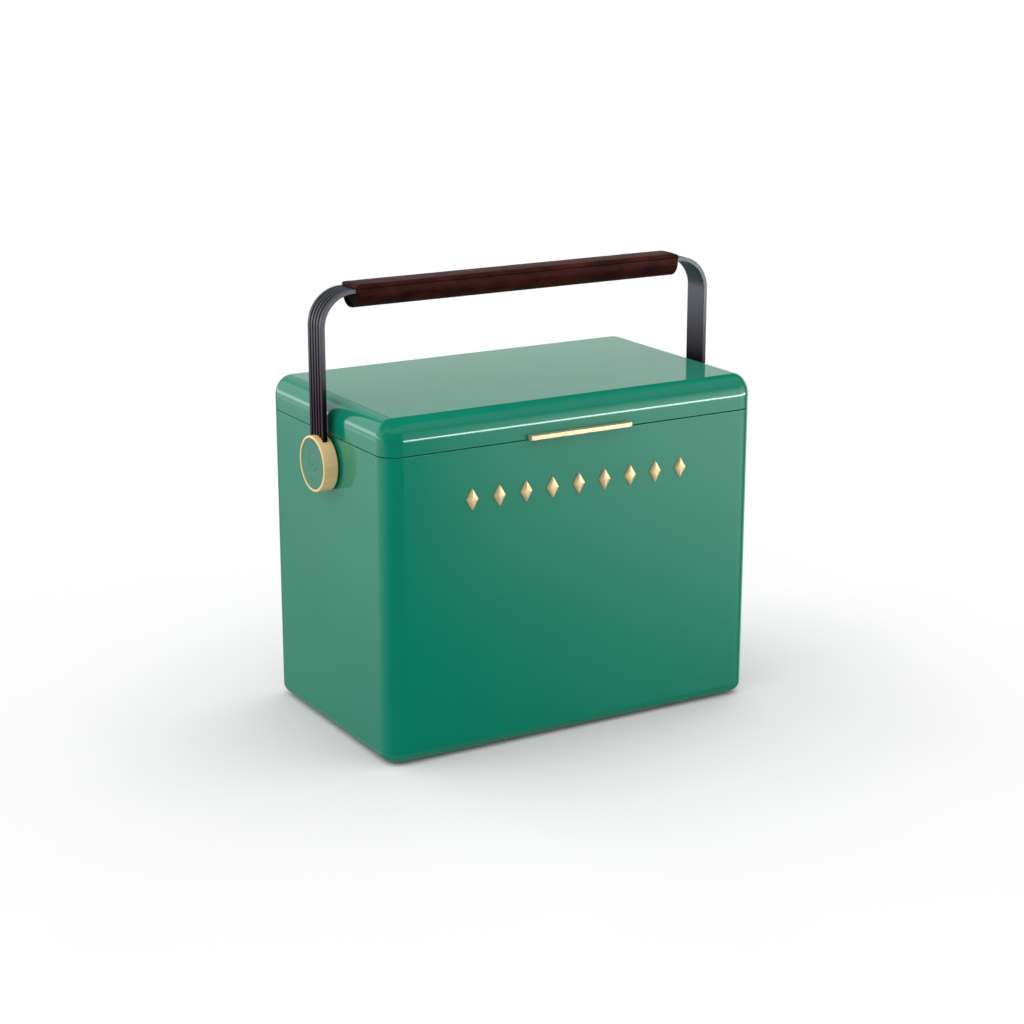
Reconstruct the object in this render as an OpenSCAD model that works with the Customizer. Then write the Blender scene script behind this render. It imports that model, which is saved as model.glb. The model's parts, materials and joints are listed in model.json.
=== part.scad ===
// Insulated drinks cooler chest: hinged lid, ribbed swing handle with a leather grip, brass hubs.
// Millimetres. The origin is at the middle of the base, +Z up; the front faces -Y.

/* [Chest] */
// Width of the chest, side face to side face
body_w = 380; // [340:5:420]
// Depth of the chest, front face to back face
body_d = 230; // [210:5:250]
// Height of the seam between chest and lid
seam_z = 276; // [260:1:290]
// Height of the lid's flat top
top_z = 307; // [303:1:320]
// Width of the gap that shows as the seam
seam_gap = 0.8; // [0.6:0.1:1.2]
// Radius of the upright corners
corner_r = 18; // [17:0.5:22]
// Radius of the lower edge
base_edge_r = 9.5; // [6:0.5:12]
// Radius of the lid's upper edge
lid_edge_r = 15; // [10:0.5:16]
// Thickness of the outer mouldings
shell_t = 3; // [2:0.5:4]
// How far the feet stand below the shell
foot_h = 2; // [1:0.5:4]

/* [Inside] */
// Full thickness of the insulated side walls
wall_t = 35; // [30:1:45]
// Height of the tub's floor above the ground
floor_z = 40; // [30:1:60]
// Thickness of the tub and the lid tray
liner_t = 2.5; // [2:0.5:3.5]
// Radius of the tub's upright corners
tub_corner_r = 15; // [15:1:25]
// How far the lid tray dips below the seam
plug_depth = 11.5; // [8:0.5:20]
// Gap between the lid tray and the tub wall
plug_gap = 1.5; // [1:0.5:3]

/* [Handle] */
// Distance of the handle's axis in front of the middle
pivot_forward = 7; // [0:1:15]
// Height of the handle's axis
pivot_z = 251; // [240:1:251]
// Width of the strip
strip_w = 26.2; // [22:0.2:30]
// Thickness of the strip
strip_t = 4.1; // [3:0.1:5]
// Distance of the strip's outer face from the middle
strip_out = 200.5; // [198:0.5:202]
// Height of the strip's top face
strip_top = 402.8; // [390:0.2:420]
// Outer radius of the strip's two bends
bend_r = 32; // [25:1:40]
// Number of grooves along the strip
groove_n = 4; // [3:1:5]
// Width of a groove
groove_w = 2.1; // [1:0.1:2.5]
// Depth of a groove
groove_d = 1.1; // [0.5:0.1:1.5]

/* [Grip] */
// Length of the leather grip
grip_l = 332; // [250:2:334]
// Width of the leather grip
grip_w = 28.5; // [27.5:0.1:29]
// Depth of the trough below the strip's top face
grip_drop = 17.8; // [14:0.2:20]
// Radius of the trough's two lower corners
grip_r = 13; // [6:0.5:13]
// Thickness of the leather pad on top
pad_t = 3.6; // [2.5:0.1:4]

/* [Hubs] */
// Radius of a hub
hub_r = 24.8; // [22:0.2:25]
// Distance of a hub's outer face from the middle
hub_out = 205.8; // [205:0.2:207]
// Distance of a hub's inner face from the chest's side
hub_gap = 2.3; // [2.3:0.1:3]
// Radius of the inset disc
badge_r = 22.6; // [18:0.1:22.8]
// Radius of the pivot bolt's shank
bolt_r = 4; // [3:0.5:4]

/* [Front trim] */
// Length of the pull bar
pull_l = 104; // [80:2:140]
// Height of the pull bar
pull_h = 4; // [3:0.5:6]
// How far the pull bar stands out
pull_out = 5.8; // [5:0.1:8]
// Number of studs in the row
stud_n = 9; // [5:2:11]
// Length of the row, outer point to outer point
stud_row_l = 226; // [180:2:260]
// Height of a stud
stud_h = 20; // [10:1:24]
// Width of a stud
stud_w = 12; // [6:1:16]
// Height of the row's middle
stud_z = 231; // [200:1:240]

/* [Hinges] */
// Distance of each hinge from the middle
hinge_x = 110; // [60:5:130]
// Length of a hinge
hinge_l = 50; // [40:2:70]
// Radius of the knuckles
knuckle_r = 2.8; // [2.8:0.1:3.2]
// Radius of the hinge pin
pin_r = 1.5; // [1:0.1:1.8]

/* [Hidden] */
$fn = 64;

cut = 1;                                  // how far a cutting shape runs past a face
side_x = body_w / 2;
face_y = body_d / 2;
shell_top = seam_z - seam_gap / 2;
lid_low = seam_z + seam_gap / 2;
room_w = body_w - 2 * shell_t;            // inside the outer mouldings
room_d = body_d - 2 * shell_t;
room_r = corner_r - shell_t;
tub_w = body_w - 2 * wall_t;
tub_d = body_d - 2 * wall_t;
tub_floor_r = 12;
rim_z = seam_z - 3;                       // top of the tub's rim, below the shell's lip
plug_w = tub_w - 2 * plug_gap;
plug_d = tub_d - 2 * plug_gap;
plug_low = seam_z - plug_depth;
plug_r = tub_corner_r - plug_gap;
plug_edge_r = 6;
tray_top = lid_low + liner_t;
seal_in = 5.5;                            // tub edge to the seal's inner side
seal_w = 5;
seal_gap = 0.3;
magnet_r = 6;
magnet_h = 3;
magnet_x = 60;
magnet_y = -(face_y - 12);
foot_r = 11;
foot_sunk = 1;
foot_screw_l = 12;
foot_x = side_x - 45;
foot_y = face_y - 45;
screw_r = 1.75;
head_r = 3.3;
head_h = 1.4;
hex_r = 1.4;                              // socket in the screw heads that show
hex_d = 0.9;
head_play = 0.2;
pivot_y = -pivot_forward;
hub_in = side_x + hub_gap;
strip_in = strip_out - strip_t;
washer_t = 2;
washer_r = 14;
plate_t = 2;
plate_y = 22;
plate_z = 19;
nut_r = 7.5;
nut_h = 6.5;
bolt_end = 1.5;
head_x = strip_out + 0.3;                 // underside of the pivot bolt's head
bolt_head_r = 7;
bolt_head_h = 2.8;
socket_r = 2.9;
socket_d = 1.8;
bush_r = 6;
running = 0.05;                           // radial clearance of every running fit
washer_play = 0.1;
badge_seat = hub_out - 1.9;
badge_t = 1;
badge_relief = 0.3;
badge_play = 0.1;
ring_r = 8;
ring_w = 1.2;
dot_r = 2;
head_well_r = 8.5;
hub_chamfer = 0.7;
hub_screw_y = 7.5;
hub_screw_z = 10;
hub_screw_r = 1.5;
hub_screw_l = 10.5;
wrap_t = (grip_w - strip_w) / 2;
grip_low = strip_top - grip_drop;
strip_low = strip_top - strip_t;
core_back = 3;                            // the core ends this far inside the leather
pad_chamfer = 0.9;
pad_over = 0.6;
grip_screw_x = 120;
grip_screw_l = 12;
pull_low = lid_low;
pull_r = 1.2;
pull_screw_x = 40;
pull_screw_r = 1.2;
pull_screw_in = 3.5;
pull_head_r = 2;
notch_w = 5;                              // room for the screw's head in the lid tray's flange
notch_d = 2.5;
stud_t = 1.4;
stud_top_t = 0.8;
stud_top = 0.6;                           // the raised middle's share of the stud
leaf_t = 1.6;
barrel_play = 0.2;                        // wall to knuckle
barrel_y = face_y + knuckle_r + barrel_play;
knuckle_gap = 0.4;
knuckle_l = (hinge_l - 2 * knuckle_gap) / 3;
leaf_body_h = 20;
leaf_lid_h = 12;
leaf_screw_x = 15;
body_screw_z = seam_z - knuckle_r - leaf_body_h / 2;
lid_screw_z = seam_z + knuckle_r + leaf_lid_h / 2;
leaf_neck = 2;                            // thickness of the neck from leaf to knuckle
pin_head_r = 2.2;
pin_head_h = 1;
anchor_w = 56;
anchor_body_h = 14;
anchor_lid_h = 10;
hinge_screw_l = 10;

// Right half of an upright section: straight sides, rounded below and above as asked
module half_section(reach, low, high, low_r, high_r) {
    intersection() {
        translate([0, low]) square([reach, high - low]);
        union() {
            translate([-reach, low + low_r]) square([2 * reach, high - low - low_r - high_r]);
            if (low_r > 0) {
                translate([-reach, low]) square([2 * reach - low_r, low_r]);
                translate([reach - low_r, low + low_r]) circle(r = low_r);
            }
            if (high_r > 0) {
                translate([-reach, high - high_r]) square([2 * reach - high_r, high_r]);
                translate([reach - high_r, high - high_r]) circle(r = high_r);
            }
        }
    }
}

module full_section(reach, low, high, low_r, high_r) {
    half_section(reach, low, high, low_r, high_r);
    mirror([1, 0]) half_section(reach, low, high, low_r, high_r);
}

// Box with rounded upright corners and rounded lower or upper edges
module rounded_block(w, d, low, high, plan_r, low_r, high_r) {
    rotate([90, 0, 0])
        linear_extrude(height = d - 2 * plan_r, center = true)
            full_section(w / 2, low, high, low_r, high_r);
    rotate([90, 0, 90])
        linear_extrude(height = w - 2 * plan_r, center = true)
            full_section(d / 2, low, high, low_r, high_r);
    for (turn = [0, 90, 180, 270]) {
        sx = (turn == 0 || turn == 270) ? 1 : -1;
        sy = (turn == 0 || turn == 90) ? 1 : -1;
        translate([sx * (w / 2 - plan_r), sy * (d / 2 - plan_r), 0])
            rotate([0, 0, turn])
                rotate_extrude(angle = 90)
                    half_section(plan_r, low, high, low_r, high_r);
    }
}

module round_rect(w, d, r) {
    square([w - 2 * r, d], center = true);
    square([w, d - 2 * r], center = true);
    for (sx = [-1, 1], sy = [-1, 1])
        translate([sx * (w / 2 - r), sy * (d / 2 - r)]) circle(r = r);
}

// Cylinder along +X from x = from to x = to, centred on the handle's axis
module on_pivot(r, from, to, sides = 64) {
    translate([from, pivot_y, pivot_z])
        rotate([0, 90, 0])
            cylinder(r = r, h = to - from, $fn = sides);
}

module pivot_cone(from_r, to_r, from, length) {
    translate([from, pivot_y, pivot_z])
        rotate([0, 90, 0])
            cylinder(r1 = from_r, r2 = to_r, h = length);
}

module both_sides() {
    children();
    mirror([1, 0, 0]) children();
}

// Countersunk screw along -Z, with the top of its head at the origin
module csk_screw(shank_r, length) {
    translate([0, 0, -head_h]) cylinder(r1 = shank_r, r2 = head_r, h = head_h);
    translate([0, 0, -length]) cylinder(r = shank_r, h = length - head_h);
}

// Hex socket sunk along -Z from the top of a head at the origin
module hex_socket() {
    translate([0, 0, -hex_d]) cylinder(r = hex_r, h = hex_d + cut, $fn = 6);
}

// Every hinge, given the shape of one about the middle
module each_hinge() {
    for (sx = [-1, 1])
        translate([sx * hinge_x, 0, 0]) children();
}

// ---- chest ----

module outer_shell() {
    color([0.25, 0.53, 0.44])
    difference() {
        rounded_block(body_w, body_d, foot_h, shell_top, corner_r, base_edge_r, 0);
        rounded_block(room_w, room_d, foot_h + shell_t, shell_top + cut, room_r,
                      base_edge_r - shell_t, 0);
        on_pivot(bolt_r, -side_x - cut, side_x + cut);
        feet();
        foot_screw_holes();
        hinge_body_holes();
    }
}

module body_foam() {
    color([0.93, 0.89, 0.75])
    difference() {
        rounded_block(room_w, room_d, foot_h + shell_t, rim_z - liner_t, room_r,
                      base_edge_r - shell_t, 0);
        tub_outside();
        rim_magnets();
        pivot_plates();
        both_sides() {
            on_pivot(bolt_r, side_x - shell_t - plate_t - nut_h - bolt_end, side_x);
            on_pivot(nut_r, side_x - shell_t - plate_t - nut_h, side_x - shell_t - plate_t, 6);
        }
        foot_screw_holes();
        hinge_anchor_plates();
        hinge_body_holes();
    }
}

module tub_outside() {
    rounded_block(tub_w + 2 * liner_t, tub_d + 2 * liner_t, floor_z - liner_t, rim_z,
                  tub_corner_r + liner_t, tub_floor_r + liner_t, 0);
}

module inner_tub() {
    color([0.9, 0.9, 0.88])
    difference() {
        union() {
            tub_outside();
            translate([0, 0, rim_z - liner_t])
                linear_extrude(height = liner_t) round_rect(room_w, room_d, room_r);
        }
        rounded_block(tub_w, tub_d, floor_z, rim_z + cut, tub_corner_r, tub_floor_r, 0);
        rim_magnets();
    }
}

module rim_magnets() {
    color([0.72, 0.73, 0.75])
    for (sx = [-1, 1])
        translate([sx * magnet_x, magnet_y, rim_z - magnet_h])
            cylinder(r = magnet_r, h = magnet_h);
}

module feet() {
    color([0.1, 0.1, 0.1])
    each_foot()
        difference() {
            cylinder(r = foot_r, h = foot_h + foot_sunk);
            translate([0, 0, -cut]) cylinder(r = head_r + head_play, h = cut + head_h);
            cylinder(r = screw_r, h = foot_h + foot_sunk + cut);
        }
}

module each_foot() {
    for (sx = [-1, 1], sy = [-1, 1])
        translate([sx * foot_x, sy * foot_y, 0]) children();
}

module foot_screw_holes() {
    each_foot()
        translate([0, 0, head_h]) {
            translate([0, 0, -head_h / 2]) cylinder(r = head_r, h = head_h / 2);
            cylinder(r = screw_r, h = foot_screw_l);
        }
}

module foot_screws() {
    color([0.6, 0.6, 0.62])
    difference() {
        foot_screw_holes();
        each_foot() translate([0, 0, head_h / 2]) mirror([0, 0, 1]) hex_socket();
    }
}

module lozenge(w, h) {
    polygon([[0, h / 2], [w / 2, 0], [0, -h / 2], [-w / 2, 0]]);
}

module front_studs() {
    pitch = (stud_row_l - stud_w) / (stud_n - 1);
    color([0.79, 0.66, 0.42])
    for (i = [0 : stud_n - 1])
        translate([(i - (stud_n - 1) / 2) * pitch, -face_y, stud_z])
            rotate([90, 0, 0]) {
                linear_extrude(height = stud_t) lozenge(stud_w, stud_h);
                linear_extrude(height = stud_t + stud_top_t)
                    lozenge(stud_w * stud_top, stud_h * stud_top);
            }
}

// ---- hinges ----

// One third of a hinge barrel, from x = from, with its neck towards the wall
module knuckle(from, bore_r, neck_low) {
    difference() {
        union() {
            translate([from, barrel_y, seam_z])
                rotate([0, 90, 0]) cylinder(r = knuckle_r, h = knuckle_l);
            translate([from, face_y, neck_low]) cube([knuckle_l, leaf_neck, knuckle_r - seam_gap / 2]);
        }
        translate([from - cut, barrel_y, seam_z])
            rotate([0, 90, 0]) cylinder(r = bore_r, h = knuckle_l + 2 * cut);
    }
}

module hinge_body_leaves() {
    color([0.75, 0.75, 0.76])
    difference() {
        each_hinge() {
            translate([-hinge_l / 2, face_y, seam_z - knuckle_r - leaf_body_h])
                cube([hinge_l, leaf_t, leaf_body_h]);
            knuckle(-hinge_l / 2, pin_r, seam_z - knuckle_r);
            knuckle(hinge_l / 2 - knuckle_l, pin_r, seam_z - knuckle_r);
        }
        hinge_body_holes();
    }
}

module hinge_lid_leaves() {
    color([0.75, 0.75, 0.76])
    difference() {
        each_hinge() {
            translate([-hinge_l / 2, face_y, seam_z + knuckle_r])
                cube([hinge_l, leaf_t, leaf_lid_h]);
            knuckle(-knuckle_l / 2, pin_r + running, lid_low);
        }
        hinge_lid_holes();
    }
}

module hinge_pins() {
    color([0.8, 0.8, 0.82])
    each_hinge()
        translate([0, barrel_y, seam_z])
            rotate([0, 90, 0]) {
                cylinder(r = pin_r, h = hinge_l, center = true);
                for (sx = [-1, 1])
                    translate([0, 0, sx * (hinge_l + pin_head_h) / 2])
                        cylinder(r = pin_head_r, h = pin_head_h, center = true);
            }
}

// The shape of a screw at each of the two places on a leaf, at height z
module on_leaf(z) {
    for (sx = [-1, 1])
        translate([sx * leaf_screw_x, face_y + leaf_t, z])
            rotate([-90, 0, 0]) children();
}

module hinge_body_holes() {
    each_hinge() on_leaf(body_screw_z) csk_screw(screw_r, hinge_screw_l);
}

module hinge_lid_holes() {
    each_hinge() on_leaf(lid_screw_z) csk_screw(screw_r, hinge_screw_l);
}

module hinge_body_screws() {
    color([0.6, 0.6, 0.62])
    difference() {
        hinge_body_holes();
        each_hinge() on_leaf(body_screw_z) hex_socket();
    }
}

module hinge_lid_screws() {
    color([0.6, 0.6, 0.62])
    difference() {
        hinge_lid_holes();
        each_hinge() on_leaf(lid_screw_z) hex_socket();
    }
}

module anchor_plate(low, high) {
    translate([-anchor_w / 2, face_y - shell_t - plate_t, low])
        cube([anchor_w, plate_t, high - low]);
}

module hinge_anchor_plates() {
    color([0.55, 0.57, 0.6])
    difference() {
        each_hinge()
            anchor_plate(body_screw_z - anchor_body_h / 2, body_screw_z + anchor_body_h / 2);
        hinge_body_holes();
    }
}

module hinge_lid_anchors() {
    color([0.55, 0.57, 0.6])
    difference() {
        each_hinge()
            anchor_plate(lid_screw_z - anchor_lid_h / 2, lid_screw_z + anchor_lid_h / 2);
        hinge_lid_holes();
    }
}

// ---- handle pivots, fixed to the chest ----

module pivot_bolts() {
    color([0.7, 0.71, 0.73])
    both_sides()
        difference() {
            union() {
                on_pivot(bolt_r, side_x - shell_t - plate_t - nut_h - bolt_end, head_x);
                on_pivot(bolt_head_r, head_x, head_x + bolt_head_h);
            }
            on_pivot(socket_r, head_x + bolt_head_h - socket_d, head_x + bolt_head_h + cut, 6);
        }
}

module pivot_nuts() {
    color([0.7, 0.71, 0.73])
    both_sides()
        difference() {
            on_pivot(nut_r, side_x - shell_t - plate_t - nut_h, side_x - shell_t - plate_t, 6);
            on_pivot(bolt_r, 0, side_x);
        }
}

module pivot_plates() {
    color([0.55, 0.57, 0.6])
    both_sides()
        difference() {
            translate([side_x - shell_t - plate_t, pivot_y - plate_y, pivot_z - plate_z])
                cube([plate_t, 2 * plate_y, 2 * plate_z]);
            on_pivot(bolt_r, 0, side_x);
        }
}

module slip_washers() {
    color([0.9, 0.88, 0.82])
    both_sides()
        difference() {
            on_pivot(washer_r, side_x, side_x + washer_t);
            on_pivot(bolt_r + washer_play, side_x - cut, side_x + washer_t + cut);
        }
}

// ---- lid ----

module lid_shell() {
    color([0.29, 0.55, 0.46])
    difference() {
        rounded_block(body_w, body_d, lid_low, top_z, corner_r, 0, lid_edge_r);
        rounded_block(room_w, room_d, lid_low - cut, top_z - shell_t, room_r, 0,
                      lid_edge_r - shell_t);
        pull_screws();
        hinge_lid_holes();
    }
}

module plug_hollow() {
    rounded_block(plug_w - 2 * liner_t, plug_d - 2 * liner_t, plug_low + liner_t, tray_top,
                  plug_r - liner_t, plug_edge_r - liner_t, 0);
}

module lid_foam() {
    color([0.93, 0.89, 0.75])
    difference() {
        union() {
            rounded_block(room_w, room_d, tray_top, top_z - shell_t, room_r, 0,
                          lid_edge_r - shell_t);
            plug_hollow();
        }
        lid_strikes();
        pull_screws();
        hinge_lid_holes();
        hinge_lid_anchors();
    }
}

module lid_tray() {
    color([0.9, 0.9, 0.88])
    difference() {
        union() {
            translate([0, 0, lid_low])
                linear_extrude(height = liner_t) round_rect(room_w, room_d, room_r);
            rounded_block(plug_w, plug_d, plug_low, tray_top, plug_r, plug_edge_r, 0);
        }
        plug_hollow();
        lid_strikes();
        pull_notches();
    }
}

// Cuts in the flange's front edge that clear the heads of the pull bar's screws
module pull_notches() {
    for (sx = [-1, 1])
        translate([sx * pull_screw_x - notch_w / 2, -room_d / 2 - cut, lid_low - cut])
            cube([notch_w, notch_d + cut, liner_t + 2 * cut]);
}

module lid_seal() {
    inner = 2 * seal_in;
    outer = 2 * (seal_in + seal_w);
    color([0.16, 0.16, 0.17])
    translate([0, 0, rim_z + seal_gap])
        linear_extrude(height = lid_low - rim_z - seal_gap)
            difference() {
                round_rect(tub_w + outer, tub_d + outer, tub_corner_r + outer / 2);
                round_rect(tub_w + inner, tub_d + inner, tub_corner_r + inner / 2);
            }
}

module lid_strikes() {
    color([0.72, 0.73, 0.75])
    for (sx = [-1, 1])
        translate([sx * magnet_x, magnet_y, lid_low])
            cylinder(r = magnet_r, h = magnet_h);
}

module lid_pull() {
    color([0.86, 0.78, 0.57])
    difference() {
        translate([0, -face_y - pull_out, pull_low])
            linear_extrude(height = pull_h) {
                translate([-pull_l / 2, pull_r]) square([pull_l, pull_out - pull_r]);
                translate([-pull_l / 2 + pull_r, 0]) square([pull_l - 2 * pull_r, pull_r]);
                for (sx = [-1, 1])
                    translate([sx * (pull_l / 2 - pull_r), pull_r]) circle(r = pull_r);
            }
        pull_screws();
    }
}

// Each runs forward from its head inside the lid wall into the bar
module pull_screws() {
    color([0.6, 0.6, 0.62])
    for (sx = [-1, 1])
        translate([sx * pull_screw_x, -face_y, pull_low + pull_h / 2])
            rotate([90, 0, 0]) {
                translate([0, 0, -shell_t]) cylinder(r = pull_screw_r, h = shell_t + pull_screw_in);
                translate([0, 0, -shell_t - head_h]) cylinder(r = pull_head_r, h = head_h);
            }
}

// ---- handle ----

// Section of the strip: x from its inner face to its outer face, y across its width
module strip_section() {
    pitch = strip_w / (groove_n + 1);
    difference() {
        translate([0, -strip_w / 2]) square([strip_t, strip_w]);
        for (i = [1 : groove_n])
            translate([strip_t - groove_d, i * pitch - (strip_w + groove_w) / 2])
                square([groove_d + cut, groove_w]);
    }
}

module strip_arm() {
    translate([strip_in, pivot_y, pivot_z])
        linear_extrude(height = strip_top - bend_r - pivot_z) strip_section();
    on_pivot(strip_w / 2, strip_in, strip_out);
    translate([strip_out - bend_r, pivot_y, strip_top - bend_r])
        rotate([90, 0, 0])
            rotate_extrude(angle = 90)
                translate([bend_r - strip_t, 0]) strip_section();
}

module handle_strip() {
    color([0.27, 0.28, 0.31])
    difference() {
        union() {
            both_sides() strip_arm();
            translate([0, pivot_y, strip_low])
                rotate([90, 0, 90])
                    linear_extrude(height = 2 * (strip_out - bend_r), center = true)
                        rotate(90) strip_section();
        }
        both_sides() on_pivot(bush_r, strip_in - cut, strip_out + cut);
        hub_screws();
        grip_screws();
    }
}

// Trough section, x across the grip and y up, open at the top
module trough(reach, low, high, r) {
    full_section(reach, low, high, r, 0);
}

module along_grip(length) {
    translate([0, pivot_y, 0])
        rotate([90, 0, 90])
            linear_extrude(height = length, center = true) children();
}

module grip_wrap() {
    color([0.24, 0.12, 0.12])
    along_grip(grip_l)
        difference() {
            trough(grip_w / 2, grip_low, strip_top, grip_r);
            trough(strip_w / 2, grip_low + wrap_t, strip_top + cut, grip_r - wrap_t);
        }
}

module grip_core() {
    color([0.12, 0.1, 0.1])
    difference() {
        along_grip(grip_l - 2 * core_back)
            trough(strip_w / 2, grip_low + wrap_t, strip_low, grip_r - wrap_t);
        grip_screws();
    }
}

module grip_pad() {
    reach = grip_w / 2;
    color([0.31, 0.19, 0.19])
    along_grip(grip_l + 2 * pad_over)
        translate([0, strip_top])
            polygon([[-reach, 0], [reach, 0], [reach, pad_t - pad_chamfer],
                     [reach - pad_chamfer, pad_t], [pad_chamfer - reach, pad_t],
                     [-reach, pad_t - pad_chamfer]]);
}

module grip_screws() {
    color([0.6, 0.6, 0.62])
    for (sx = [-1, 1])
        translate([sx * grip_screw_x, pivot_y, strip_top]) csk_screw(screw_r, grip_screw_l);
}

// One hub, on the +X side
module hub() {
    color([0.83, 0.73, 0.5])
    difference() {
        union() {
            on_pivot(hub_r, hub_in + hub_chamfer, hub_out - hub_chamfer);
            pivot_cone(hub_r, hub_r - hub_chamfer, hub_out - hub_chamfer, hub_chamfer);
            pivot_cone(hub_r - hub_chamfer, hub_r, hub_in, hub_chamfer);
        }
        on_pivot(badge_r + badge_play, badge_seat, hub_out + cut);
        on_pivot(head_well_r, strip_out, badge_seat + cut);
        on_pivot(bush_r, hub_in - cut, strip_in + cut);
        on_pivot(strip_w / 2, strip_in, strip_out);
        translate([strip_in, pivot_y - strip_w / 2, pivot_z]) cube([strip_t, strip_w, 2 * hub_r]);
        hub_screws_one();
    }
}

module hub_left() {
    mirror([1, 0, 0]) hub();
}

module hub_right() {
    hub();
}

// Inset disc with a plain ring and a dot standing a little proud
module badge() {
    color([0.3, 0.58, 0.48]) {
        on_pivot(badge_r, badge_seat, badge_seat + badge_t);
        difference() {
            on_pivot(ring_r, badge_seat, badge_seat + badge_t + badge_relief);
            on_pivot(ring_r - ring_w, badge_seat + badge_t, hub_out + cut);
        }
        on_pivot(dot_r, badge_seat, badge_seat + badge_t + badge_relief);
    }
}

module hub_badge_left() {
    mirror([1, 0, 0]) badge();
}

module hub_badge_right() {
    badge();
}

module hub_bushes() {
    color([0.72, 0.52, 0.3])
    both_sides()
        difference() {
            on_pivot(bush_r, hub_in, strip_out);
            on_pivot(bolt_r + running, hub_in - cut, strip_out + cut);
        }
}

module hub_screws_one() {
    for (sy = [-1, 1])
        translate([hub_in, pivot_y + sy * hub_screw_y, pivot_z + hub_screw_z])
            rotate([0, -90, 0]) csk_screw(hub_screw_r, hub_screw_l);
}

module hub_screws() {
    color([0.6, 0.6, 0.62])
    both_sides() hub_screws_one();
}

outer_shell();
body_foam();
inner_tub();
rim_magnets();
feet();
foot_screws();
front_studs();
hinge_body_leaves();
hinge_pins();
hinge_body_screws();
hinge_anchor_plates();
pivot_bolts();
pivot_nuts();
pivot_plates();
slip_washers();
lid_shell();
lid_foam();
lid_tray();
lid_seal();
lid_strikes();
lid_pull();
pull_screws();
hinge_lid_leaves();
hinge_lid_screws();
hinge_lid_anchors();
handle_strip();
grip_core();
grip_wrap();
grip_pad();
grip_screws();
hub_left();
hub_right();
hub_badge_left();
hub_badge_right();
hub_bushes();
hub_screws();
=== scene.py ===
"""Looks of the insulated cooler chest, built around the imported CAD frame.

Metres, +Z up, front towards -Y.
"""

import json
import math

import bmesh
import bpy
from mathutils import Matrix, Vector, noise


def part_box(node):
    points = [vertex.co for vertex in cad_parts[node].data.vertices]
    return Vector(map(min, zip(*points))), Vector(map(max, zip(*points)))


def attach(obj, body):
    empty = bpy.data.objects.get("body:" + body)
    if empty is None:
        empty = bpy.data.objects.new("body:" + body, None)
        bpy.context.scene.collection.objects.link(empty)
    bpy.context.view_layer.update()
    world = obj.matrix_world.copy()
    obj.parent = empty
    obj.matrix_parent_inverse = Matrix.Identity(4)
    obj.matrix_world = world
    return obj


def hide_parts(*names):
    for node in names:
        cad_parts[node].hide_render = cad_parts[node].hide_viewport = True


MM = 0.001

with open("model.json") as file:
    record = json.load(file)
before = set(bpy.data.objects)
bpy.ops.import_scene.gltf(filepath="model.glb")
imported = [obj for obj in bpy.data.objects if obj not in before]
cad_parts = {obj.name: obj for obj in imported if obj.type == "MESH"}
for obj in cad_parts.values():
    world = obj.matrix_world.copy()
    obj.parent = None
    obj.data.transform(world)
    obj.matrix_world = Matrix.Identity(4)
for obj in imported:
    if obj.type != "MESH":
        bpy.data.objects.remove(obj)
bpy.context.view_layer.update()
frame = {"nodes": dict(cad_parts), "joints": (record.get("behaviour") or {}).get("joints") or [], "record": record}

# ---- sizes, from the frame where it gives them ----

SHELL_LO, SHELL_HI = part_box("outer_shell")
LID_LO, LID_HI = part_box("lid_shell")
HALF_W = SHELL_HI.x
HALF_D = SHELL_HI.y
CORNER_R = 18 * MM
BASE_EDGE_R = 9.5 * MM
LID_EDGE_R = 15 * MM
LID_EDGE_H = 19 * MM                   # the lid's upper edge starts to lean this far below the top
SHELL_T = 3 * MM
LIP_R = 0.5 * MM                       # rounding of the two edges that meet at the seam
SEAM_CLOSE = 0.12 * MM                 # each edge at the seam stands this much proud of the CAD's
CORNER_STEPS = 20

PIVOT = Vector(next(j["pos_m"] for j in frame["joints"] if j["name"] == "handle_swing"))
BUSH_R = 6 * MM                        # the bronze bush that each hub turns on
BUSH_GAP = 0.2 * MM                    # the strip's foot ends this far above it
STRIP_LO, STRIP_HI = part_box("handle_strip")
STRIP_OUT = STRIP_HI.x
STRIP_TOP = STRIP_HI.z
STRIP_W = STRIP_HI.y - STRIP_LO.y
STRIP_T = 4.1 * MM
STRIP_BEND_R = 32 * MM
GROOVES = 4
GROOVE_W = 2.1 * MM
GROOVE_D = 1.1 * MM
ARM_STEPS = 8
BEND_STEPS = 28
GRIP_R = 13 * MM                       # rounding of the grip trough's two lower corners
SEAM_V = 0.55 * MM                     # depth of the v between the grip's two leathers

LATHE_STEPS = 128
BACKDROP = 0.97                        # how bright the sky looks past the floor's edge


# ---- mesh helpers ----

def make_object(name, verts, faces, body, material, replaced, sharp=40):
    """A smooth-shaded mesh piece that rides on a body and stands for the replaced CAD nodes."""
    mesh = bpy.data.meshes.new(name)
    mesh.from_pydata([tuple(v) for v in verts], [], faces)
    mesh.validate()
    work = bmesh.new()
    work.from_mesh(mesh)
    bmesh.ops.remove_doubles(work, verts=work.verts, dist=1e-7)
    bmesh.ops.recalc_face_normals(work, faces=work.faces)
    work.to_mesh(mesh)
    work.free()
    mesh.polygons.foreach_set("use_smooth", [True] * len(mesh.polygons))
    mesh.set_sharp_from_angle(angle=math.radians(sharp))
    obj = bpy.data.objects.new(name, mesh)
    bpy.context.scene.collection.objects.link(obj)
    even = obj.modifiers.new("even_normals", "WEIGHTED_NORMAL")
    even.keep_sharp = True
    mesh.materials.append(material)
    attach(obj, body)
    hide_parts(*replaced)


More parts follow.
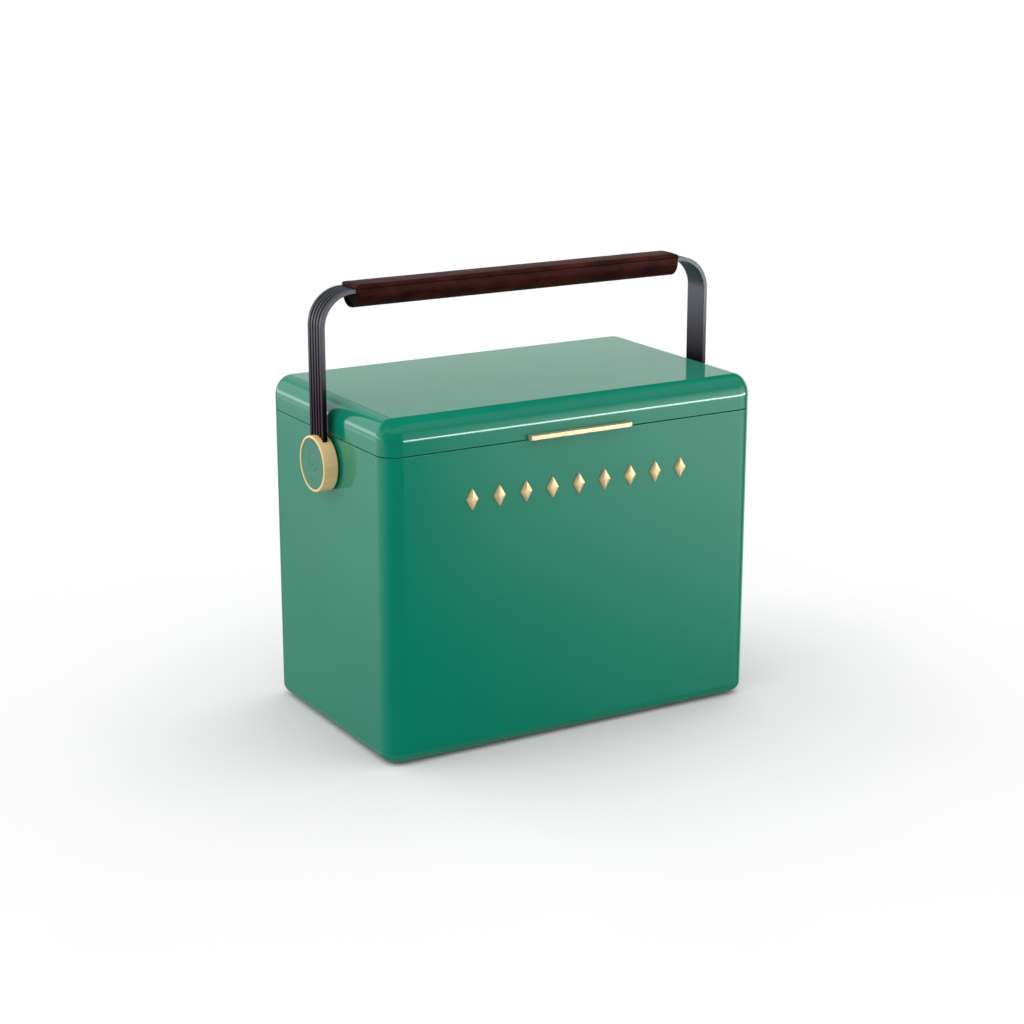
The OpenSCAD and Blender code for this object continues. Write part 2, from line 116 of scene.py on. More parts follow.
def bridge(rings, closed_profile=False, caps=True):
    """Faces that join rings of equal length, in order; caps close the first and last ring."""
    count = len(rings[0])
    verts = [point for ring in rings for point in ring]
    faces = []
    spans = len(rings) if closed_profile else len(rings) - 1
    for i in range(spans):
        a = i * count
        b = ((i + 1) % len(rings)) * count
        for k in range(count):
            n = (k + 1) % count
            faces.append((a + k, a + n, b + n, b + k))
    if caps and not closed_profile:
        faces.append(tuple(range(count - 1, -1, -1)))
        faces.append(tuple(range((len(rings) - 1) * count, len(rings) * count)))
    return verts, faces


def joined(parts):
    """Several (verts, faces) pairs as one."""
    verts = []
    faces = []
    for more, sides in parts:
        faces += [tuple(k + len(verts) for k in side) for side in sides]
        verts += more
    return verts, faces


def arc(centre, radius, start, end, steps):
    """Points on an arc in a plane, angles in degrees, both ends included."""
    points = []
    for k in range(steps + 1):
        angle = math.radians(start + (end - start) * k / steps)
        points.append((centre[0] + radius * math.cos(angle), centre[1] + radius * math.sin(angle)))
    return points


def rounded_outline(half_w, half_d, radius):
    """Rounded rectangle about the middle, as points in the plane."""
    points = []
    for turn, (sx, sy) in enumerate(((1, 1), (-1, 1), (-1, -1), (1, -1))):
        centre = (sx * (half_w - radius), sy * (half_d - radius))
        points += arc(centre, radius, 90 * turn, 90 * turn + 90, CORNER_STEPS)
    return points


def box_ring(half_w, half_d, corner_r, inset, z, centre=(0, 0)):
    radius = max(corner_r - inset, 0.4 * MM)
    outline = rounded_outline(half_w - inset, half_d - inset, radius)
    return [(x + centre[0], y + centre[1], z) for x, y in outline]


def lathe(profile, centre, side):
    """Rings about the handle axis for a closed profile of (distance out, radius) pairs."""
    rings = []
    for out, radius in profile:
        ring = []
        for k in range(LATHE_STEPS):
            angle = 2 * math.pi * k / LATHE_STEPS
            ring.append((side * out, centre.y + radius * math.cos(angle),
                         centre.z + radius * math.sin(angle)))
        rings.append(ring)
    return rings


# ---- material helpers ----

def maths_node(tree, operation, a, b):
    """A Math node's result; a and b are numbers or the outputs of other nodes."""
    node = tree.nodes.new("ShaderNodeMath")
    node.operation = operation
    for socket, value in zip(node.inputs, (a, b)):
        if isinstance(value, (int, float)):
            socket.default_value = value
        else:
            tree.links.new(value, socket)
    return node.outputs[0]


class Nodes:
    """Short names for building a node material."""

    def __init__(self, name):
        self.material = bpy.data.materials.new(name)
        self.material.use_nodes = True
        self.tree = self.material.node_tree
        self.shader = self.tree.nodes["Principled BSDF"]
        self.coords = self.tree.nodes.new("ShaderNodeTexCoord").outputs["Object"]

    def link(self, output, target):
        self.tree.links.new(output, target)

    def mapped(self, scale):
        node = self.tree.nodes.new("ShaderNodeMapping")
        node.inputs["Scale"].default_value = scale
        self.link(self.coords, node.inputs["Vector"])
        return node.outputs["Vector"]

    def noise(self, scale, detail=2.0, rough=0.5, stretch=None):
        node = self.tree.nodes.new("ShaderNodeTexNoise")
        node.inputs["Scale"].default_value = scale
        node.inputs["Detail"].default_value = detail
        node.inputs["Roughness"].default_value = rough
        self.link(self.mapped(stretch) if stretch else self.coords, node.inputs["Vector"])
        return node.outputs["Fac"]

    def cells(self, scale):
        node = self.tree.nodes.new("ShaderNodeTexVoronoi")
        node.inputs["Scale"].default_value = scale
        self.link(self.coords, node.inputs["Vector"])
        return node.outputs["Distance"]

    def ramp(self, value, stops):
        node = self.tree.nodes.new("ShaderNodeValToRGB")
        band = node.color_ramp
        while len(band.elements) < len(stops):
            band.elements.new(0.5)
        for element, (place, colour) in zip(band.elements, stops):
            element.position = place
            element.color = (*colour, 1)
        self.link(value, node.inputs["Fac"])
        return node.outputs["Color"]

    def spread(self, value, low, high, from_low=0.0, from_high=1.0):
        node = self.tree.nodes.new("ShaderNodeMapRange")
        node.inputs["From Min"].default_value = from_low
        node.inputs["From Max"].default_value = from_high
        node.inputs["To Min"].default_value = low
        node.inputs["To Max"].default_value = high
        self.link(value, node.inputs["Value"])
        return node.outputs["Result"]

    def maths(self, operation, a, b):
        return maths_node(self.tree, operation, a, b)

    def bump(self, height, distance, strength):
        node = self.tree.nodes.new("ShaderNodeBump")
        node.inputs["Strength"].default_value = strength
        node.inputs["Distance"].default_value = distance
        self.link(height, node.inputs["Height"])
        self.link(node.outputs["Normal"], self.shader.inputs["Normal"])

    def set(self, **values):
        for name, value in values.items():
            self.shader.inputs[name.replace("_", " ")].default_value = value


def tint(colour, share):
    return tuple(min(1.0, c * share) for c in colour)


def glossy_green():
    m = Nodes("gloss_green")
    green = (0.002, 0.193, 0.115)
    cloud = m.noise(5.0, 2.0)
    m.link(m.ramp(cloud, [(0.3, tint(green, 0.96)), (0.7, tint(green, 1.04))]),
           m.shader.inputs["Base Color"])
    m.link(m.spread(m.noise(60.0, 3.0), 0.08, 0.12), m.shader.inputs["Roughness"])
    m.set(IOR=1.75, Specular_Tint=(0.86, 1.0, 0.95, 1.0))
    return m.material


def badge_green():
    m = Nodes("satin_green")
    green = (0.003, 0.18, 0.108)
    m.link(m.ramp(m.noise(30.0, 2.0), [(0.3, tint(green, 0.93)), (0.7, tint(green, 1.07))]),
           m.shader.inputs["Base Color"])
    m.link(m.spread(m.noise(300.0, 2.0), 0.26, 0.36), m.shader.inputs["Roughness"])
    m.set(IOR=1.75)
    m.bump(m.noise(900.0, 2.0), 0.00002, 0.4)
    return m.material


def brushed_metal(name, colour, rough, stretch, metallic=1.0, depth=0.00002, turned=False):
    """Metal with fine brush lines. A turned piece's lines run around X, with soft bands of painted reflection
    across them, lighter and darker in the colour.
    """
    m = Nodes(name)
    grain = m.noise(1.0, 4.0, 0.6, stretch)
    shade = grain
    stops = [(0.3, tint(colour, 0.92)), (0.7, tint(colour, 1.06))]
    if turned:
        # painted reflection: lighter and darker bands around the axis, laid into the colour
        painted_reflection_bands = m.noise(1.0, 2.0, 0.5, (8, 90, 90))
        shade = m.maths("ADD", m.maths("MULTIPLY", grain, 0.3), m.maths("MULTIPLY", painted_reflection_bands, 0.7))
        stops = [(0.42, tint(colour, 0.87)), (0.58, colour)]
    m.link(m.ramp(shade, stops), m.shader.inputs["Base Color"])
    if turned:
        around = m.tree.nodes.new("ShaderNodeTangent")
        around.direction_type = "RADIAL"
        around.axis = "X"
        m.link(around.outputs["Tangent"], m.shader.inputs["Tangent"])
        m.set(Anisotropic=0.85, Anisotropic_Rotation=0.25)
    m.link(m.spread(grain, rough - 0.03, rough + 0.04), m.shader.inputs["Roughness"])
    m.set(Metallic=metallic)
    m.bump(grain, depth, 0.5)
    return m.material


def plain_metal(name, colour, rough, metallic=1.0):
    m = Nodes(name)
    cloud = m.noise(90.0, 3.0)
    m.link(m.ramp(cloud, [(0.35, tint(colour, 0.88)), (0.65, tint(colour, 1.06))]),
           m.shader.inputs["Base Color"])
    m.link(m.spread(m.noise(400.0, 2.0), rough - 0.03, rough + 0.04), m.shader.inputs["Roughness"])
    m.set(Metallic=metallic)
    m.bump(m.noise(1500.0, 2.0), 0.000004, 0.4)
    return m.material


def anodised_painted_reflection():
    """Anodised slate grey towards the grip, with a painted dark reflection that turns it near-black and a little
    purple by the hubs.
    """
    m = Nodes("anodised_painted_reflection")
    dark = (0.036, 0.015, 0.032)
    slate = (0.112, 0.118, 0.132)
    height = m.tree.nodes.new("ShaderNodeSeparateXYZ")
    m.link(m.coords, height.inputs["Vector"])
    # painted reflection: by height, the colour darkens from slate at the grip to near-black purple by the hubs
    low = PIVOT.z + 50 * MM
    high = STRIP_TOP - 38 * MM
    place = m.spread(height.outputs["Z"], 0.0, 1.0, low, high)
    cloud = m.spread(m.noise(40.0, 2.0), -0.08, 0.08)
    m.link(m.ramp(m.maths("ADD", place, cloud), [(0.0, dark), (1.0, slate)]),
           m.shader.inputs["Base Color"])
    m.link(m.spread(m.noise(700.0, 2.0), 0.32, 0.42), m.shader.inputs["Roughness"])
    m.set(Metallic=0.92, Specular_IOR_Level=0.1)
    m.bump(m.noise(3000.0, 2.0), 0.00001, 0.5)
    return m.material


def leather():
    """Burgundy leather: mottled, a little streaky along the grip, with fine grain and shallow folds."""
    m = Nodes("burgundy_leather")
    dark = (0.014, 0.003, 0.0026)
    mid = (0.033, 0.0064, 0.0054)
    warm = (0.062, 0.0105, 0.008)
    patches = m.noise(52.0, 5.0, 0.65, (0.55, 1.0, 1.0))
    streaks = m.noise(210.0, 3.0, 0.6, (0.06, 1.0, 1.0))
    wear = m.maths("ADD", m.maths("MULTIPLY", patches, 0.72), m.maths("MULTIPLY", streaks, 0.28))
    m.link(m.ramp(wear, [(0.36, dark), (0.49, mid), (0.62, warm)]), m.shader.inputs["Base Color"])
    m.link(m.spread(m.noise(160.0, 3.0), 0.34, 0.48), m.shader.inputs["Roughness"])
    m.set(Specular_IOR_Level=0.06)
    grain = m.cells(1150.0)
    pores = m.noise(2400.0, 2.0)
    folds = m.noise(110.0, 3.0, 0.6, (0.3, 1.0, 1.0))
    height = m.maths("ADD", m.maths("MULTIPLY", grain, 0.5),
                     m.maths("ADD", m.maths("MULTIPLY", pores, 0.2), m.maths("MULTIPLY", folds, 1.2)))
    m.bump(height, 0.00018, 0.45)
    return m.material


def plastic(name, colour, rough_low, rough_high, grain=900.0, depth=0.00003, specular=0.5):
    m = Nodes(name)
    m.link(m.ramp(m.noise(25.0, 3.0), [(0.3, tint(colour, 0.96)), (0.7, tint(colour, 1.03))]),
           m.shader.inputs["Base Color"])
    m.link(m.spread(m.noise(140.0, 2.0), rough_low, rough_high), m.shader.inputs["Roughness"])
    m.set(Specular_IOR_Level=specular)
    m.bump(m.noise(grain, 2.0), depth, 0.5)
    return m.material


def foam():
    m = Nodes("rigid_foam")
    cream = (0.82, 0.74, 0.52)
    pits_and_painted_shade = m.cells(520.0)
    # painted shade: the cell pits that the bump sinks are also coloured darker
    m.link(m.ramp(pits_and_painted_shade, [(0.1, tint(cream, 0.82)), (0.6, cream)]), m.shader.inputs["Base Color"])
    m.set(Roughness=0.85)
    m.bump(pits_and_painted_shade, 0.0004, 0.7)
    return m.material


GREEN = glossy_green()
BADGE = badge_green()
BRASS_HUB = brushed_metal("brushed_brass_hub", (1.0, 0.7, 0.35), 0.3, (2200, 60, 60), 0.25,
                          turned=True)
BRASS_BAR = brushed_metal("polished_brass", (0.8, 0.68, 0.42), 0.26, (30, 900, 900), 0.7, 0.0000004)
BRASS_STUD = plain_metal("cast_brass", (0.84, 0.63, 0.33), 0.4, 0.55)
DARK = anodised_painted_reflection()
LEATHER = leather()
CORE = plastic("grip_filler", (0.014, 0.009, 0.0075), 0.7, 0.85, specular=0.1)
LINER = plastic("white_liner", (0.66, 0.66, 0.635), 0.28, 0.38, 700.0)
RUBBER = plastic("black_rubber", (0.018, 0.018, 0.018), 0.6, 0.75, 1600.0, 0.00006)
SEAL = plastic("seal_rubber", (0.03, 0.03, 0.032), 0.45, 0.6, 1800.0, 0.00004)
NYLON = plastic("nylon", (0.76, 0.73, 0.64), 0.4, 0.55)
STEEL = plain_metal("screw_steel", (0.36, 0.36, 0.375), 0.24)
HINGE = brushed_metal("hinge_steel", (0.66, 0.66, 0.67), 0.3, (60, 60, 2600), depth=0.000006)
PLATE = plain_metal("plate_steel", (0.44, 0.45, 0.47), 0.42)
BRONZE = plain_metal("bush_bronze", (0.48, 0.29, 0.13), 0.32)
FOAM = foam()

SLOT_MATERIALS = {
    "green_gloss": GREEN, "green_badge": BADGE, "foam": FOAM, "white_liner": LINER,
    "magnet_steel": STEEL, "foot_rubber": RUBBER, "seal_rubber": SEAL, "steel_screws": STEEL,
    "brass_trim": BRASS_BAR, "brass_hub": BRASS_HUB, "hinge_steel": HINGE, "plate_steel": PLATE,
    "washer_nylon": NYLON, "dark_strip": DARK, "grip_core": CORE, "dark_leather": LEATHER,
    "bush_bronze": BRONZE,
}


BROKEN_EDGES = {"hinge_body_leaves": 0.3 * MM, "hinge_lid_leaves": 0.3 * MM, "rim_magnets": 0.3 * MM,
                "lid_strikes": 0.3 * MM, "lid_tray": 0.5 * MM, "inner_tub": 0.5 * MM}


def dress_cad_nodes():
    """Every CAD node gets its slot's material, and those in BROKEN_EDGES lose their sharp edges."""
    slot_of = {part["node"]: part["material_slot"] for part in frame["record"]["subparts"]}
    for name, obj in frame["nodes"].items():
        obj.data.materials.clear()
        obj.data.materials.append(SLOT_MATERIALS[slot_of[name]])
        if name in BROKEN_EDGES:
            edge = obj.modifiers.new("broken_edges", "BEVEL")
            edge.width = BROKEN_EDGES[name]
            edge.segments = 2
            edge.limit_method = "ANGLE"
            edge.angle_limit = math.radians(40)


# ---- chest and lid ----

def shell_profile(z_low, z_high, low_r, high_r, open_up, edge_h):
    """(inset, z) pairs from the inner cap, over the open rim, to the outer cap."""
    inner_r = (low_r if open_up else high_r) - SHELL_T
    rim = z_high if open_up else z_low
    cap = z_low if open_up else z_high
    up = 1 if open_up else -1

    def place(points):
        return [(inset, cap + up * height) for inset, height in points]

    tall = abs(rim - cap)
    outer_r = low_r if open_up else high_r
    inner = [(SHELL_T + inner_r - dx, SHELL_T + inner_r + dz)
             for dx, dz in arc((0, 0), inner_r, -90, 0, 8)]
    lip = [(SHELL_T - LIP_R + dx, tall - LIP_R + dz) for dx, dz in arc((0, 0), LIP_R, 0, 90, 3)]
    edge = [(LIP_R - dx, tall - LIP_R + dz) for dx, dz in arc((0, 0), LIP_R, 90, 0, 3)]
    outer = [(outer_r - dx, edge_h + dz * edge_h / outer_r)
             for dx, dz in arc((0, 0), outer_r, 0, -90, 24)]
    return place(inner + lip + edge + outer)


def shell_piece(name, node, body, z_low, z_high, low_r, high_r, open_up, edge_h):
    profile = shell_profile(z_low, z_high, low_r, high_r, open_up, edge_h)
    rings = [box_ring(HALF_W, HALF_D, CORNER_R, inset, z) for inset, z in profile]
    verts, faces = bridge(rings)
    make_object(name, verts, faces, body, GREEN, [node])


def chest_shells():
    shell_piece("chest_casing", "outer_shell", "chest", SHELL_LO.z, SHELL_HI.z + SEAM_CLOSE,
                BASE_EDGE_R, 0, True, BASE_EDGE_R)
    shell_piece("lid_cover", "lid_shell", "lid", LID_LO.z - SEAM_CLOSE, LID_HI.z, 0, LID_EDGE_R,
                False, LID_EDGE_H)


def lid_seal():
    """Bulb seal with two soft lips, as one closed loop under the lid."""
    lo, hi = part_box("lid_seal")
    half_w, half_d = hi.x, hi.y
    width = 5 * MM
    corner = 25.5 * MM
    low, high = lo.z, hi.z
    lip_h = 0.9 * MM
    lip_at = 0.8 * MM                  # where each lip touches, in from the seal's side
    dip = 0.7 * MM                     # how far the middle stands back from the lips
    slope_in, slope_up = 0.25 * MM, 0.35 * MM
    section = [(0.0, high), (0.0, low + lip_h), (slope_in, low + slope_up), (lip_at, low)]
    section += [(2 * lip_at, low + 0.5 * MM), (width / 2, low + dip), (width - 2 * lip_at, low + 0.5 * MM)]
    section += [(width - lip_at, low), (width - slope_in, low + slope_up), (width, low + lip_h)]
    section += [(width, high)]
    rings = [box_ring(half_w, half_d, corner, inset, z) for inset, z in section]
    verts, faces = bridge(rings, closed_profile=True)
    make_object("seal_bulb", verts, faces, "lid", SEAL, ["lid_seal"])


def pull_bar():
    lo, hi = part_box("lid_pull")
    middle = (lo + hi) / 2
    half_w = (hi.x - lo.x) / 2
    half_d = (hi.y - lo.y) / 2
    edge = 0.3 * MM
    profile = [(edge - dx, lo.z + edge + dz) for dx, dz in arc((0, 0), edge, -90, 0, 4)]
    profile += [(edge - dx, hi.z - edge + dz) for dx, dz in arc((0, 0), edge, 0, 90, 4)]
    rings = [box_ring(half_w, half_d, 1.2 * MM, inset, z, (middle.x, middle.y)) for inset, z in profile]
    verts, faces = bridge(rings)
    make_object("pull_bar", verts, faces, "lid", BRASS_BAR, ["lid_pull"])


def rounded_polygon(corners, radius, steps):
    """Outline of a convex polygon whose corners are arcs of the given radius."""
    points = []
    count = len(corners)
    for i, corner in enumerate(corners):
        here = Vector(corner)
        to_last = (Vector(corners[i - 1]) - here).normalized()
        to_next = (Vector(corners[(i + 1) % count]) - here).normalized()
        half = to_last.angle(to_next) / 2
        bisector = (to_last + to_next).normalized()
        centre = here + bisector * (radius / math.sin(half))
        start = here + to_last * (radius / math.tan(half)) - centre
        end = here + to_next * (radius / math.tan(half)) - centre
        turn = start.angle_signed(end)
        first = math.atan2(start.y, start.x)
        for k in range(steps + 1):
            angle = first - turn * k / steps
            points.append((centre.x + radius * math.cos(angle), centre.y + radius * math.sin(angle)))
    return points


def front_studs():
    """Pillowed lozenges, each where the CAD has one."""
    lo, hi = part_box("front_studs")
    count = 9
    width = 12 * MM
    height = hi.z - lo.z
    pitch = (hi.x - lo.x - width) / (count - 1)
    middle = (lo.z + hi.z) / 2
    outline = rounded_polygon([(0, height / 2), (-width / 2, 0), (0, -height / 2), (width / 2, 0)],
                              0.7 * MM, 4)
    rim = 0.9 * MM
    crown = hi.y - lo.y - rim
    levels = [(1.0, 0.0), (1.0, rim)]
    crown_steps = 12
    for k in range(1, crown_steps):
        angle = math.radians(90 * k / crown_steps)
        levels.append((math.cos(angle) ** 0.8, rim + crown * math.sin(angle)))
    studs = []
    for i in range(count):
        x = lo.x + width / 2 + i * pitch
        rings = [[(x + px * share, hi.y - out, middle + pz * share) for px, pz in outline]
                 for share, out in levels]
        studs.append(bridge(rings))
    verts, faces = joined(studs)
    make_object("lozenge_studs", verts, faces, "chest", BRASS_STUD,
                ["front_studs"], sharp=60)


# ---- handle ----

def strip_outline():
    """Closed section of the strip: (across, depth) with rounded ribs on the outer face."""
    half = STRIP_W / 2
    pitch = STRIP_W / (GROOVES + 1)
    soft = 0.35 * MM
    deep = 0.3 * MM
    points = arc((-half + soft, -soft), soft, 180, 90, 4)
    for i in range(1, GROOVES + 1):
        middle = -half + i * pitch
        left = middle - GROOVE_W / 2
        right = middle + GROOVE_W / 2
        points += arc((left - soft, -soft), soft, 90, 0, 4)
        points += arc((left + deep, -GROOVE_D + deep), deep, 180, 270, 3)
        points += arc((right - deep, -GROOVE_D + deep), deep, 270, 360, 3)
        points += arc((right + soft, -soft), soft, 180, 90, 4)
    points += arc((half - soft, -soft), soft, 90, 0, 4)
    points += arc((half - soft, -STRIP_T + soft), soft, 0, -90, 4)
    points += arc((-half + soft, -STRIP_T + soft), soft, -90, -180, 4)
    return points


def strip_stations():
    """(x, z, outward x, outward z) along the strip's outer face, from one hub's bush to the other's."""
    bend_x = STRIP_OUT - STRIP_BEND_R
    bend_z = STRIP_TOP - STRIP_BEND_R
    foot_z = PIVOT.z + BUSH_R + BUSH_GAP
    half = [(STRIP_OUT, foot_z, 1, 0)]
    for k in range(1, ARM_STEPS + 1):
        half.append((STRIP_OUT, foot_z + (bend_z - foot_z) * k / ARM_STEPS, 1, 0))
    for k in range(1, BEND_STEPS + 1):
        angle = math.radians(90 * k / BEND_STEPS)
        half.append((bend_x + STRIP_BEND_R * math.cos(angle), bend_z + STRIP_BEND_R * math.sin(angle),
                     math.cos(angle), math.sin(angle)))
    left = [(-x, z, -nx, nz) for x, z, nx, nz in half]
    return left + list(reversed(half))


def handle_strip():
    outline = strip_outline()
    rings = []
    for x, z, nx, nz in strip_stations():
        rings.append([(x + depth * nx, PIVOT.y + across, z + depth * nz) for across, depth in outline])
    verts, faces = bridge(rings)
    make_object("ribbed_strip", verts, faces, "handle", DARK, ["handle_strip"])


def spaced(low, high, edge, near):
    """Places from low to high: close together within edge of both ends, wider between."""
    wide = 2.2 * MM
    places = [low + edge * k / near for k in range(near)]
    middle = max(2, round((high - low - 2 * edge) / wide))
    places += [low + edge + (high - low - 2 * edge) * k / middle for k in range(middle + 1)]
    places += [high - edge + edge * k / near for k in range(1, near + 1)]
    return places


def grip_cap():
    """Leather bar on top: crowned, rounded at its border, with a line pressed in along it."""
    lo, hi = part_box("grip_pad")
    border = 2.2 * MM
    crease_at = 3.1 * MM
    crease_w = 0.45 * MM
    crease_d = 0.8 * MM
    crown = 0.5 * MM
    ripple = 0.12 * MM
    edge = 5 * MM
    edge_steps = 20
    xs = spaced(lo.x, hi.x, edge, edge_steps)
    ys = spaced(lo.y, hi.y, edge, edge_steps)
    top = hi.z - 0.15 * MM
    half_w = (hi.y - lo.y) / 2
    middle = (lo.y + hi.y) / 2

    def height(x, y):
        inside = min(x - lo.x, hi.x - x, y - lo.y, hi.y - y)
        z = top - crown * ((y - middle) / half_w) ** 2
        if inside < border:
            z -= border - math.sqrt(max(0.0, border ** 2 - (border - inside) ** 2))
        z -= crease_d * math.exp(-((inside - crease_at) / crease_w) ** 2)
        wobble = noise.noise(Vector((x * 60, y * 140, 3.1)))
        return min(hi.z, z + ripple * wobble * min(1.0, inside / border))

    rows = len(ys)
    verts = [(x, y, height(x, y)) for x in xs for y in ys]
    faces = []
    for i in range(len(xs) - 1):
        for k in range(rows - 1):
            a = i * rows + k
            faces.append((a, a + rows, a + rows + 1, a + 1))
    rim = [i * rows for i in range(len(xs))]
    rim += [(len(xs) - 1) * rows + k for k in range(1, rows)]
    rim += [i * rows + rows - 1 for i in range(len(xs) - 2, -1, -1)]
    rim += [k for k in range(rows - 2, 0, -1)]
    side = [(0.0, 0.35), (0.08 * MM, 0.6), (0.25 * MM, 0.82), (SEAM_V, 1.0)]
    last = rim
    base_z = lo.z
    for inset, share in side:
        ring = []
        for index in rim:
            x, y, z = verts[index]
            edge_x = min(max(x, lo.x + inset), hi.x - inset)
            edge_y = min(max(y, lo.y + inset), hi.y - inset)
            ring.append(len(verts))
            verts.append((edge_x, edge_y, z + (base_z - z) * share))
        for k in range(len(rim)):
            n = (k + 1) % len(rim)
            faces.append((last[k], ring[k], ring[n], last[n]))
        last = ring
    faces.append(tuple(last))
    make_object("leather_cap", verts, faces, "handle", LEATHER, ["grip_pad"], 55)


def grip_wrap():
    """U-shaped leather wrap under the strip, rolled over at its two ends."""
    lo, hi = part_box("grip_wrap")
    half = (hi.y - lo.y) / 2
    thick = half - STRIP_W / 2
    middle = (lo.y + hi.y) / 2
    top = hi.z - 0.05 * MM
    ripple = 0.1 * MM
    lining = 0.02 * MM

    def u_path(out):
        """Points down one side, round the bottom and up the other, out from the inner face."""
        reach = half - thick + out
        bend = GRIP_R - thick + out
        bottom = lo.z + thick - out
        path = [(-reach, top - (top - bottom - bend) * k / 8) for k in range(9)]
        path += arc((-reach + bend, bottom + bend), bend, 180, 270, 14)[1:]
        path += [(-reach + bend + 2 * (reach - bend) * k / 6, bottom) for k in range(1, 6)]
        path += arc((reach - bend, bottom + bend), bend, 270, 360, 14)
        path += [(reach, bottom + bend + (top - bottom - bend) * k / 8) for k in range(1, 9)]
        return path

    def ring(x, outer, inner):
        outside = u_path(outer)
        inside = u_path(inner)
        loop = []
        for across, z in outside:
            wobble = ripple * noise.noise(Vector((x * 70, across * 160, z * 160)))
            wobble -= ripple
            wobble -= max(0.0, SEAM_V - (top - z))
            pull = 1 + (wobble if outer > 0.9 * thick else 0) / half
            loop.append((x, middle + across * pull, max(lo.z, z)))
        loop += [(x, middle + across, z) for across, z in reversed(inside)]
        return loop

    roll = 0.45 * MM
    roll_in, roll_back = 0.13 * MM, 0.2 * MM
    ends = [(0.0, thick - roll), (roll_in, thick - roll_back), (roll, thick)]
    xs = [(lo.x + dx, out) for dx, out in ends]
    steps = 110
    xs += [(lo.x + roll + (hi.x - lo.x - 2 * roll) * k / steps, thick) for k in range(1, steps)]
    xs += [(hi.x - dx, out) for dx, out in reversed(ends)]
    rings = [ring(x, out, lining) for x, out in xs]
    verts, faces = bridge(rings, caps=False)
    count = len(rings[0])
    for base in (0, (len(rings) - 1) * count):
        for k in range(count // 2 - 1):
            quad = (base + k, base + k + 1, base + count - 2 - k, base + count - 1 - k)
            faces.append(quad)
    make_object("leather_wrap", verts, faces, "handle", LEATHER,
                ["grip_wrap"], 55)


def hub(side, word):
    """Turned brass hub: rounded rims, a fine line behind the front rim, a seat for the disc."""
    lo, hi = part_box("hub_" + word)
    inner = min(abs(lo.x), abs(hi.x))
    outer = max(abs(lo.x), abs(hi.x))
    radius = (hi.z - lo.z) / 2
    seat = outer - 1.9 * MM
    well = STRIP_OUT
    well_r = 8.5 * MM
    soft = 0.6 * MM
    profile = [(inner, BUSH_R)]
    profile += [(inner + soft - dx, radius - soft + dy) for dx, dy in arc((0, 0), soft, 0, 90, 5)]
    front_soft = 0.9 * MM
    line = outer - 1.6 * MM
    line_half = 0.2 * MM
    line_d = 0.12 * MM
    profile += [(line - line_half, radius), (line - line_d, radius - line_d)]
    profile += [(line + line_d, radius - line_d), (line + line_half, radius)]
    profile += [(outer - front_soft + dx, radius - front_soft + dy)
                for dx, dy in arc((0, 0), front_soft, 90, 0, 7)]
    recess = 22.7 * MM
    lip = 0.3 * MM
    profile += [(outer - lip + dx, recess + lip + dy) for dx, dy in arc((0, 0), lip, 0, -90, 3)]
    profile += [(seat, recess), (seat, well_r), (well, well_r), (well, BUSH_R)]
    rings = lathe(profile, PIVOT, side)
    verts, faces = bridge(rings, closed_profile=True)
    make_object("turned_hub_" + word, verts, faces, "handle", BRASS_HUB,
                ["hub_" + word])


def badge(side, word):
    """Inset disc: a soft edge and three plain rings sunk in its face."""
    lo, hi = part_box("hub_badge_" + word)
    seat = min(abs(lo.x), abs(hi.x))
    set_back = 0.3 * MM
    face = max(abs(lo.x), abs(hi.x)) - set_back
    radius = (hi.z - lo.z) / 2
    soft = 0.35 * MM
    cap_r = 0.3 * MM
    profile = [(seat, cap_r), (seat, radius)]
    profile += [(face - soft + dx, radius - soft + dy) for dx, dy in arc((0, 0), soft, 90, 0, 4)]
    for ring_r, half, depth in ((19.5, 0.35, 0.12), (8.0, 0.7, 0.3), (1.9, 0.5, 0.25)):
        for step in (1.0, 0.6, 0.2, -0.2, -0.6, -1.0):
            sunk = depth * math.cos(step * math.pi / 2)
            profile.append((face - sunk * MM, (ring_r + half * step) * MM))
    profile.append((face, cap_r))
    rings = lathe(profile, PIVOT, side)
    verts, faces = bridge(rings)
    make_object("inset_disc_" + word, verts, faces, "handle", BADGE,
                ["hub_badge_" + word])


# ---- underside ----

def feet():
    """Rubber feet: turned, with a rounded tread, two shallow grooves and a seat for the screw's head."""
    lo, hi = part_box("feet")
    radius = 11 * MM
    tall = hi.z - lo.z
    soft = 0.8 * MM
    groove_d = 0.35 * MM
    groove_top, groove_bed = 0.4 * MM, 0.2 * MM
    screw_r = 1.75 * MM
    seat_r = 3.5 * MM
    seat_d = 1.4 * MM
    seat_soft = 0.4 * MM
    steps = 64
    profile = [(screw_r, tall), (radius, tall), (radius, soft)]
    profile += [(radius - soft + dx, soft + dz) for dx, dz in arc((0, 0), soft, 0, -90, 5)]
    for groove in (8.2 * MM, 6.0 * MM):
        profile += [(groove + groove_top, 0), (groove + groove_bed, groove_d)]
        profile += [(groove - groove_bed, groove_d), (groove - groove_top, 0)]
    profile += [(seat_r + seat_soft, 0), (seat_r, seat_soft), (seat_r, seat_d), (screw_r, seat_d)]
    parts = []
    for sx in (-1, 1):
        for sy in (-1, 1):
            x0 = sx * (hi.x - radius)
            y0 = sy * (hi.y - radius)
            rings = []
            for r, z in profile:
                rings.append([(x0 + r * math.cos(2 * math.pi * k / steps),
                               y0 + r * math.sin(2 * math.pi * k / steps), lo.z + z)
                              for k in range(steps)])
            parts.append(bridge(rings, closed_profile=True))
    verts, faces = joined(parts)
    make_object("rubber_feet", verts, faces, "chest", RUBBER, ["feet"])


# ---- stage ----

